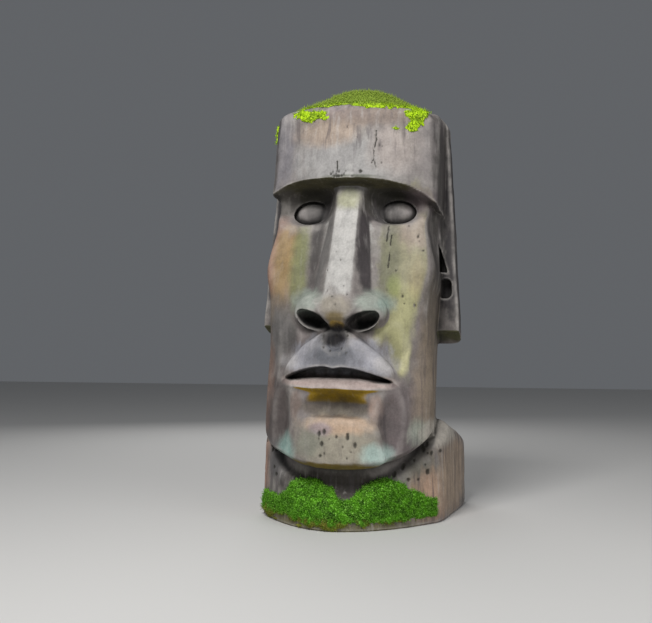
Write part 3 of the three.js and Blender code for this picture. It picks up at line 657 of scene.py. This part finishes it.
# ---- materials ----
class Paint:
    """One material's shader nodes, added by short calls. Lengths are in millimetres."""

    def __init__(self, name):
        self.material = bpy.data.materials.new(name)
        self.material.use_nodes = True
        self.tree = self.material.node_tree
        self.shader = self.tree.nodes["Principled BSDF"]
        place = self.node("TexCoord").outputs["Object"]
        self.place = self.vector("SCALE", place, scale=1 / MM)
        pivot = (0, 0, NECK_PIVOT)
        upright = self.node("VectorRotate", {"Vector": self.place, "Center": pivot, "Angle": -LEAN},
                            rotation_type="Y_AXIS").outputs[0]
        self.head = self.vector("MULTIPLY", upright, (1, -1, 1))
        x, f, z = self.node("SeparateXYZ", {0: self.head}).outputs
        self.mirrored = self.node("CombineXYZ", {0: self.math("ABSOLUTE", x), 1: f, 2: z}).outputs[0]
        self.normal = self.node("NewGeometry").outputs["Normal"]

    def node(self, kind, inputs=(), **settings):
        node = self.tree.nodes.new("ShaderNode" + kind)
        for key, value in settings.items():
            setattr(node, key, value)
        for key, value in dict(inputs).items():
            if isinstance(value, bpy.types.NodeSocket):
                self.tree.links.new(value, node.inputs[key])
            else:
                node.inputs[key].default_value = value
        return node

    def vector(self, operation, a, b=None, c=None, scale=None):
        inputs = {0: a}
        inputs.update({key: value for key, value in ((1, b), (2, c), (3, scale)) if value is not None})
        node = self.node("VectorMath", inputs, operation=operation)
        return node.outputs["Value" if operation in ("LENGTH", "DOT_PRODUCT") else "Vector"]

    def math(self, operation, a, b=0.0, clamp=False):
        return self.node("Math", {0: a, 1: b}, operation=operation, use_clamp=clamp).outputs[0]

    def ramp(self, value, low, high, start=0.0, end=1.0):
        inputs = {"Value": value, "From Min": low, "From Max": high, "To Min": start, "To Max": end}
        return self.node("MapRange", inputs, interpolation_type="SMOOTHSTEP").outputs["Result"]

    def noise(self, size, detail=3.0, stretch=1.0, shift=0.0, rough=0.55):
        """Noise from 0 to 1 with lumps about size across, drawn out up and down by stretch."""
        scale = (1 / size, 1 / size, 1 / (size * stretch))
        place = self.vector("MULTIPLY_ADD", self.place, scale, (shift, shift, shift))
        inputs = {"Vector": place, "Scale": 1.0, "Detail": detail, "Roughness": rough}
        return self.node("TexNoise", inputs).outputs["Fac"]

    def blend(self, amount, a, b, mode="MIX"):
        inputs = {"Factor": amount, "A": a, "B": b}
        node = self.tree.nodes.new("ShaderNodeMix")
        node.data_type = "RGBA"
        node.blend_type = mode
        sockets = {"Factor": node.inputs[0], "A": node.inputs[6], "B": node.inputs[7]}
        for key, value in inputs.items():
            if isinstance(value, bpy.types.NodeSocket):
                self.tree.links.new(value, sockets[key])
            else:
                sockets[key].default_value = value if key == "Factor" else (*value, 1)
        return node.outputs[2]

    def level(self, value):
        """The same number on all three channels, as a colour to multiply by."""
        return self.node("CombineColor", {0: value, 1: value, 2: value}).outputs[0]

    def attribute(self, name):
        return self.node("Attribute", attribute_name=name).outputs["Fac"]

    def part(self, vector, axis):
        return self.node("SeparateXYZ", {0: vector}).outputs[axis]

    def zone(self, ragged, at, size, soft=0.45, mirrored=False):
        """1 inside an ellipsoid of the head, fading out over its soft edge."""
        place = self.mirrored if mirrored else self.head
        scale = tuple(1 / v for v in size)
        offset = tuple(-a / v for a, v in zip(at, size))
        away = self.vector("LENGTH", self.vector("MULTIPLY_ADD", place, scale, offset))
        return self.ramp(self.math("ADD", away, ragged), 1 + soft, 1 - soft)

    def set(self, **inputs):
        for key, value in inputs.items():
            socket = self.shader.inputs[key.replace("_", " ").title()]
            if isinstance(value, bpy.types.NodeSocket):
                self.tree.links.new(value, socket)
            else:
                socket.default_value = value


def colour_patch(at, size, colour, strength=0.85, soft=0.45, mirrored=False, turn=None):
    return Sizes(at=at, size=size, colour=colour, strength=strength, soft=soft, mirrored=mirrored, turn=turn)


# where the stone's colour changes, and where light and shade are painted into it, from the broad areas to the
# small ones: at and size are (x, f, z)
STAINS_AND_PAINTED_LIGHT = [
    # forehead
    colour_patch((0, 300, 1500), (260, 200, 130), (0.33, 0.32, 0.31)),
    colour_patch((-345, 180, 1560), (90, 200, 190), (0.185, 0.175, 0.19)),
    colour_patch((345, 180, 1560), (60, 200, 190), (0.20, 0.18, 0.175)),
    colour_patch((-100, 280, 1640), (150, 120, 66), (0.37, 0.285, 0.22), 0.8),
    colour_patch((-60, 270, 1715), (130, 150, 30), (0.27, 0.225, 0.25), 0.7),
    colour_patch((90, 270, 1700), (250, 150, 44), (0.25, 0.195, 0.16), 0.8),
    colour_patch((190, 260, 1560), (100, 120, 110), (0.37, 0.315, 0.285), 0.7),
    colour_patch((10, 300, 1434), (120, 60, 9), (0.05, 0.065, 0.03), 0.85, 0.6),
    # side planes and ears: the sides, the ears and the undersides of the ear lobes are painted darker as
    # shade
    colour_patch((370, 140, 700), (60, 190, 420), (0.19, 0.155, 0.115), 0.85, 0.3, True, "side"),
    colour_patch((385, 100, 1340), (60, 190, 420), (0.085, 0.077, 0.072), 0.92, 0.25, True, "side"),
    colour_patch((412, -20, 1260), (66, 80, 520), (0.05, 0.046, 0.048), 0.96, 0.2, True),
    colour_patch((400, 20, 795), (90, 120, 46), (0.06, 0.062, 0.015), 0.85, 0.4, True, "down"),
    # right cheek
    colour_patch((285, 250, 1060), (135, 150, 330), (0.31, 0.29, 0.18), 0.95, 0.22, False, "front"),
    colour_patch((262, 300, 800), (118, 150, 190), (0.37, 0.355, 0.185), 0.95, 0.25, False, "front"),
    colour_patch((295, 250, 1220), (90, 120, 80), (0.34, 0.275, 0.225), 0.85, 0.4, False, "front"),
    colour_patch((185, 270, 1090), (40, 100, 190), (0.15, 0.15, 0.10), 0.75, 0.5),
    colour_patch((214, 320, 985), (30, 80, 44), (0.30, 0.34, 0.11), 0.6, 0.5),
    colour_patch((300, 220, 1010), (40, 90, 90), (0.36, 0.28, 0.14), 0.5, 0.5, False, "front"),
    colour_patch((292, 310, 660), (42, 90, 92), (0.60, 0.57, 0.31), 0.95, 0.2, False, "front"),
    # left cheek, with painted shade in the groove beside the mouth
    colour_patch((-310, 210, 1070), (100, 150, 220), (0.32, 0.195, 0.12), 0.97, 0.25),
    colour_patch((-345, 190, 1080), (36, 120, 160), (0.40, 0.235, 0.175), 0.7, 0.5),
    colour_patch((-262, 240, 1060), (60, 120, 200), (0.29, 0.195, 0.08), 0.9),
    colour_patch((-200, 260, 1050), (42, 120, 200), (0.19, 0.20, 0.085), 0.85),
    colour_patch((-285, 270, 780), (105, 130, 140), (0.118, 0.112, 0.108), 0.9),
    colour_patch((-330, 200, 880), (50, 120, 70), (0.22, 0.18, 0.14), 0.7, 0.5),
    colour_patch((-325, 200, 1255), (60, 120, 40), (0.26, 0.18, 0.17), 0.6),
    # nose: the lit front is painted lighter as a highlight, its sides and the groove beside it are painted
    # dark as shade, and the nostrils are painted near black as shade
    colour_patch((0, 330, 1150), (110, 150, 262), (0.47, 0.455, 0.43), 0.97, 0.2, False, "front"),
    colour_patch((0, 262, 1350), (62, 60, 46), (0.37, 0.365, 0.24), 0.85, 0.4),
    colour_patch((100, 250, 1110), (80, 120, 270), (0.045, 0.038, 0.040), 0.96, 0.3, False, "side"),
    colour_patch((-90, 260, 1110), (80, 120, 250), (0.15, 0.142, 0.135), 0.9, 0.4, False, "side"),
    colour_patch((-132, 240, 1100), (30, 90, 200), (0.055, 0.05, 0.048), 0.85, 0.5),
    colour_patch((142, 360, 908), (76, 120, 54), (0.29, 0.325, 0.28), 0.9, 0.35, True),
    colour_patch((186, 390, 915), (26, 80, 34), (0.24, 0.40, 0.35), 0.4, 0.6),
    colour_patch((0, 430, 890), (62, 80, 50), (0.30, 0.265, 0.21), 0.85),
    colour_patch((0, 420, 846), (34, 60, 26), (0.22, 0.165, 0.075), 0.9),
    colour_patch((0, 400, 818), (34, 60, 20), (0.34, 0.22, 0.045), 0.95, 0.3),
    colour_patch((102, 380, 830), (64, 80, 38), (0.012, 0.011, 0.011), 0.98, 0.25, True),
    # eyes and brow: the underside of the brow, the sockets and the inner tops of the eyes are painted dark as
    # shade
    colour_patch((0, 230, 1392), (380, 140, 70), (0.055, 0.048, 0.018), 0.97, 0.25, False, "down"),
    colour_patch((150, 175, 1362), (160, 62, 46), (0.05, 0.046, 0.032), 0.92, 0.35, True),
    colour_patch((100, 190, 1330), (72, 90, 66), (0.055, 0.05, 0.042), 0.9, 0.35, True),
    colour_patch((-300, 180, 1340), (60, 90, 60), (0.075, 0.068, 0.06), 0.85, 0.4),
    colour_patch((285, 180, 1345), (70, 90, 56), (0.15, 0.115, 0.125), 0.8, 0.5),
    colour_patch((228, 190, 1276), (56, 70, 44), (0.22, 0.20, 0.195), 0.9, 0.4, True),
    colour_patch((148, 190, 1300), (62, 70, 62), (0.058, 0.053, 0.053), 0.9, 0.4, True),
    # mouth: the middle of the upper lip and the hollow under the nose are painted dark as shade, and the
    # ridges of the upper lip painted lighter as highlights
    colour_patch((0, 430, 690), (280, 150, 95), (0.38, 0.375, 0.41), 0.97, 0.2),
    colour_patch((-10, 440, 700), (120, 90, 70), (0.075, 0.08, 0.09), 0.85, 0.65),
    colour_patch((212, 380, 668), (50, 90, 34), (0.60, 0.57, 0.56), 0.7, 0.6, True),
    colour_patch((0, 395, 776), (66, 80, 46), (0.010, 0.009, 0.011), 0.99, 0.35),
    colour_patch((0, 405, 587), (300, 130, 30), (0.47, 0.37, 0.335), 0.98, 0.2),
    colour_patch((0, 390, 545), (330, 140, 52), (0.32, 0.20, 0.008), 0.99, 0.2, False, "down"),
    # chin: the hollow under the lip is painted dark as shade, the top of the boss painted lighter as a
    # highlight on its peach colour, and the ochre underside is partly painted darker as shade
    colour_patch((15, 400, 482), (150, 120, 34), (0.10, 0.082, 0.06), 0.75, 0.5),
    colour_patch((172, 400, 490), (28, 80, 56), (0.34, 0.245, 0.20), 0.8, 0.4),
    colour_patch((-168, 400, 490), (28, 80, 56), (0.20, 0.145, 0.12), 0.8, 0.4),
    colour_patch((20, 440, 350), (185, 130, 110), (0.36, 0.325, 0.255), 0.92),
    colour_patch((30, 440, 420), (140, 90, 36), (0.56, 0.395, 0.275), 0.92),
    colour_patch((-40, 440, 404), (50, 90, 26), (0.30, 0.26, 0.32), 0.6),
    colour_patch((-90, 440, 340), (60, 90, 50), (0.22, 0.235, 0.19), 0.6, 0.5),
    colour_patch((280, 340, 430), (90, 160, 180), (0.145, 0.118, 0.118), 0.9, 0.35),
    colour_patch((-275, 340, 430), (84, 160, 180), (0.085, 0.068, 0.065), 0.9, 0.35),
    colour_patch((345, 220, 560), (50, 160, 240), (0.30, 0.235, 0.175), 0.75),
    colour_patch((-340, 220, 560), (46, 160, 200), (0.24, 0.15, 0.115), 0.75),
    colour_patch((186, 410, 308), (60, 90, 42), (0.44, 0.57, 0.52), 0.9, 0.5),
    colour_patch((-206, 400, 312), (50, 90, 62), (0.27, 0.40, 0.36), 0.9, 0.45),
    colour_patch((335, 290, 390), (40, 90, 56), (0.36, 0.42, 0.35), 0.7, 0.5),
    colour_patch((0, 400, 240), (330, 120, 32), (0.17, 0.115, 0.022), 0.97, 0.3, False, "down"),
    # neck and block: the neck is painted dark as the shadow under the jaw, and the top of the right shoulder
    # painted lighter where light falls on it
    colour_patch((0, 330, 165), (300, 150, 60), (0.045, 0.037, 0.032), 0.95, 0.35),
    colour_patch((-400, 150, 200), (50, 190, 170), (0.42, 0.25, 0.18), 0.85, 0.5),
    colour_patch((-310, 290, 250), (90, 150, 90), (0.125, 0.12, 0.12), 0.9),
    colour_patch((330, 230, 200), (70, 150, 90), (0.17, 0.165, 0.13), 0.8, 0.5),
    colour_patch((380, 200, 120), (100, 200, 110), (0.50, 0.33, 0.235), 0.85, 0.4),
    colour_patch((430, -60, 200), (60, 260, 180), (0.42, 0.32, 0.235), 0.85, 0.4),
    colour_patch((390, 60, 380), (120, 260, 60), (0.50, 0.46, 0.40), 0.9, 0.4),
    colour_patch((0, 400, 0), (470, 240, 40), (0.17, 0.15, 0.055), 0.8, 0.5),
]
CRACK_LINE = Sizes(half=2.2, soft=2.5, wander=9, size=26, gapSize=38, front=(60, 120))
TUFF = Sizes(dark=(0.20, 0.172, 0.165), light=(0.28, 0.258, 0.238), darkStreak=(0.095, 0.08, 0.085),
             lightStreak=(0.46, 0.43, 0.41), worn=(0.52, 0.485, 0.45), dirt=(0.026, 0.024, 0.018))


def crack_lines(paint):
    """1 along the thin dark lines of the cracks on the face."""
    sway = paint.math("SUBTRACT", paint.noise(CRACK_LINE.size, 3), 0.5)
    wander = paint.math("MULTIPLY", sway, CRACK_LINE.wander)
    flat = paint.vector("MULTIPLY", paint.head, (1, 0, 1))
    place = paint.vector("ADD", flat, paint.node("CombineXYZ", {0: wander}).outputs[0])
    nearest = None
    for path in CRACKS:
        for (ax, az), (bx, bz) in zip(path, path[1:]):
            run = Vector((bx - ax, 0, bz - az))
            start = paint.vector("SUBTRACT", place, (ax, 0, az))
            share = paint.vector("DOT_PRODUCT", start, tuple(run / run.length_squared))
            share = paint.math("ADD", share, 0.0, True)
            along_run = paint.vector("SCALE", tuple(run), scale=share)
            away = paint.vector("LENGTH", paint.vector("SUBTRACT", start, along_run))
            nearest = paint.math("MINIMUM", nearest, away) if nearest else away
    line = paint.ramp(nearest, CRACK_LINE.half + CRACK_LINE.soft, CRACK_LINE.half)
    broken = paint.ramp(paint.noise(CRACK_LINE.gapSize, 3, shift=4.4), 0.34, 0.5)
    forward = paint.ramp(paint.part(paint.head, 1), *CRACK_LINE.front)
    return paint.math("MULTIPLY", paint.math("MULTIPLY", line, broken), forward)


def stone_material():
    """Weathered tuff: coloured patches with painted light and shade among them, rain streaks, painted shade
    in the hollows, lighter edges that are partly wear and partly painted highlight, and darker pits, cracks
    and painted shade in creases, in that order.
    """
    paint = Paint("stone")
    broad = paint.noise(210, 4)
    medium = paint.noise(55, 4, shift=3.1)
    fine = paint.noise(9, 4, shift=7.7, rough=0.65)
    streaks = paint.noise(22, 3, stretch=14, shift=11.3)
    border = paint.noise(46, 4, stretch=1.8, shift=5.5)
    ragged = paint.math("MULTIPLY", paint.math("SUBTRACT", border, 0.5), 1.1)
    colour = paint.blend(paint.ramp(broad, 0.36, 0.64), TUFF.dark, TUFF.light)

    side = paint.math("ABSOLUTE", paint.part(paint.normal, 0))
    upward = paint.part(paint.normal, 2)
    height = paint.part(paint.head, 2)
    # which way the surface faces: lets a patch keep to the sides, the front or the undersides, so painted
    # shade and painted highlights also follow the facing
    turns = {"side": paint.ramp(side, 0.40, 0.62), "front": paint.ramp(side, 0.72, 0.45),
             "down": paint.ramp(upward, -0.12, -0.42)}
    for spot in STAINS_AND_PAINTED_LIGHT:
        inside = paint.zone(ragged, spot.at, spot.size, spot.soft, spot.mirrored)
        if spot.turn:
            inside = paint.math("MULTIPLY", inside, turns[spot.turn])
        colour = paint.blend(paint.math("MULTIPLY", inside, spot.strength), colour, spot.colour)

    wet = paint.math("MAXIMUM", paint.ramp(height, 1450, 1650), paint.ramp(height, 240, 180))
    wet = paint.math("MAXIMUM", wet, paint.ramp(side, 0.7, 0.9))
    dark_streaks = paint.math("MULTIPLY", paint.ramp(streaks, 0.50, 0.70), paint.ramp(wet, 0, 1, 0.16, 0.62))
    light_streaks = paint.math("MULTIPLY", paint.ramp(streaks, 0.46, 0.28), paint.ramp(wet, 0, 1, 0.12, 0.35))
    colour = paint.blend(dark_streaks, colour, TUFF.darkStreak)
    colour = paint.blend(light_streaks, colour, TUFF.lightStreak)
    tone = paint.math("ADD", paint.ramp(medium, 0.3, 0.7, 0.84, 1.12), paint.ramp(fine, 0.3, 0.7, -0.1, 0.1))
    colour = paint.blend(1.0, colour, paint.level(tone), "MULTIPLY")

    deep = paint.attribute("deep")
    nook = paint.attribute("nook")
    shade = paint.math("MULTIPLY", paint.ramp(deep, 0.2, 0.95, 1.0, 0.42),
                       paint.ramp(nook, 0.15, 0.9, 1.0, 0.5))
    colour = paint.blend(1.0, colour, paint.level(shade), "MULTIPLY")
    # lighter along outer edges that don't face down: partly wear of the stone and partly a painted highlight
    # where light catches the edge
    bright = paint.math("MULTIPLY", paint.attribute("edge"), paint.ramp(medium, 0.3, 0.7, 0.15, 0.6))
    bright = paint.math("MULTIPLY", bright, paint.ramp(upward, -0.5, -0.1))
    colour = paint.blend(bright, colour, TUFF.worn)
    # painted shade in creases, together with darker pits and crack lines, all mixed towards one dark colour
    crease = paint.math("MULTIPLY", paint.attribute("crease"), 0.35)
    dirt = paint.math("MAXIMUM", paint.attribute("cut"), crease)
    dirt = paint.math("MAXIMUM", dirt, crack_lines(paint))
    colour = paint.blend(paint.math("MULTIPLY", dirt, 0.88, True), colour, TUFF.dirt)

    pores = paint.ramp(paint.noise(5, 3, shift=2.2, rough=0.7), 0.36, 0.46)
    rise = paint.math("ADD", paint.math("MULTIPLY", fine, 0.5), paint.math("MULTIPLY", pores, 0.35))
    rise = paint.math("ADD", rise, paint.math("MULTIPLY", medium, 0.6))
    bump = paint.node("Bump", {"Strength": 0.45, "Distance": 0.004, "Height": rise}).outputs[0]
    paint.set(base_color=colour, roughness=paint.ramp(medium, 0.3, 0.7, 0.72, 0.92), normal=bump)
    paint.shader.inputs["Specular IOR Level"].default_value = 0.35
    return paint.material


def moss_material(name, old, dark, fresh, bright, turn_at):
    """Moss that is old and dull beyond turn_at, a pair of heights, and fresh before it."""
    paint = Paint(name)
    clumps = paint.noise(26, 4, shift=1.7)
    specks = paint.noise(6, 3, shift=9.1, rough=0.7)
    height = paint.math("ADD", paint.part(paint.head, 2), paint.ramp(clumps, 0.3, 0.7, -18, 18))
    colour = paint.blend(paint.ramp(clumps, 0.34, 0.60), dark, fresh)
    colour = paint.blend(paint.ramp(specks, 0.50, 0.66), colour, bright)
    colour = paint.blend(paint.ramp(height, *turn_at), colour, old)
    colour = paint.blend(paint.ramp(specks, 0.46, 0.34, 0.0, 0.8), colour, dark)
    bump = paint.node("Bump", {"Strength": 0.7, "Distance": 0.005, "Height": specks}).outputs[0]
    paint.set(base_color=colour, roughness=0.9, normal=bump)
    paint.shader.inputs["Specular IOR Level"].default_value = 0.2
    return paint.material


# ---- stage, in metres, degrees and watts ----
CAMERA = Sizes(place=(0.980, -3.906, 0.737), pitch=92.12, turn=16, lens=50)
FLOOR = Sizes(half=12, colour=(0.62, 0.61, 0.59), roughness=0.9)
SKY = Sizes(colour=(0.80, 0.84, 0.90), strength=0.15)
LIGHTS = [("key", (-0.3, -3.5, 4.3), (0, 0, 0.9), 1.6, 210),
          ("fill", (3.2, -2.2, 1.8), (0, 0, 0.8), 2.5, 34),
          ("back", (-1.8, 3.4, 2.6), (0, 0, 0.9), 2.5, 40)]


def plain_material(name, colour, roughness):
    material = bpy.data.materials.new(name)
    material.use_nodes = True
    shader = material.node_tree.nodes["Principled BSDF"]
    shader.inputs["Base Color"].default_value = (*colour, 1)
    shader.inputs["Roughness"].default_value = roughness
    return material


def make_camera():
    camera = bpy.data.objects.new("camera", bpy.data.cameras.new("camera"))
    camera.data.lens = CAMERA.lens
    camera.location = CAMERA.place
    camera.rotation_euler = (math.radians(CAMERA.pitch), 0, math.radians(CAMERA.turn))
    bpy.context.scene.collection.objects.link(camera)
    bpy.context.scene.camera = camera


def area_light(name, place, aim, size, power):
    light = bpy.data.lights.new(name, "AREA")
    light.energy = power
    light.size = size
    lamp = bpy.data.objects.new(name, light)
    lamp.location = place
    lamp.rotation_euler = (Vector(aim) - Vector(place)).to_track_quat("-Z", "Y").to_euler()
    bpy.context.scene.collection.objects.link(lamp)


def make_stage():
    floor_mesh = bpy.data.meshes.new("floor")
    corners = [(x * FLOOR.half, y * FLOOR.half, 0) for x, y in ((-1, -1), (1, -1), (1, 1), (-1, 1))]
    floor_mesh.from_pydata(corners, [], [(0, 1, 2, 3)])
    floor_mesh.materials.append(plain_material("floor", FLOOR.colour, FLOOR.roughness))
    floor = bpy.data.objects.new("floor", floor_mesh)
    bpy.context.scene.collection.objects.link(floor)
    world = bpy.data.worlds.new("studio")
    world.use_nodes = True
    sky = world.node_tree.nodes["Background"]
    sky.inputs["Color"].default_value = (*SKY.colour, 1)
    sky.inputs["Strength"].default_value = SKY.strength
    bpy.context.scene.world = world
    bpy.context.scene.view_settings.view_transform = "Standard"
    for light in LIGHTS:
        area_light(*light)


make_camera()
make_stage()
stone = carve_stone(stone_material())
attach(stone, "root")
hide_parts(STONE_NODE)
base_green = moss_material("base_moss", (0.30, 0.30, 0.05), (0.035, 0.13, 0.005), (0.13, 0.40, 0.012),
                           (0.42, 0.85, 0.14), (46, 16))
crown_green = moss_material("crown_moss", (0.26, 0.36, 0.05), (0.16, 0.28, 0.012), (0.42, 0.66, 0.010),
                            (0.72, 0.93, 0.05), (1744, 1768))
for moss in (grow_moss("moss_base", BASE_MOSS, base_moss, base_green),
             grow_moss("moss_crown", CROWN_MOSS, crown_moss, crown_green)):
    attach(moss, "root")
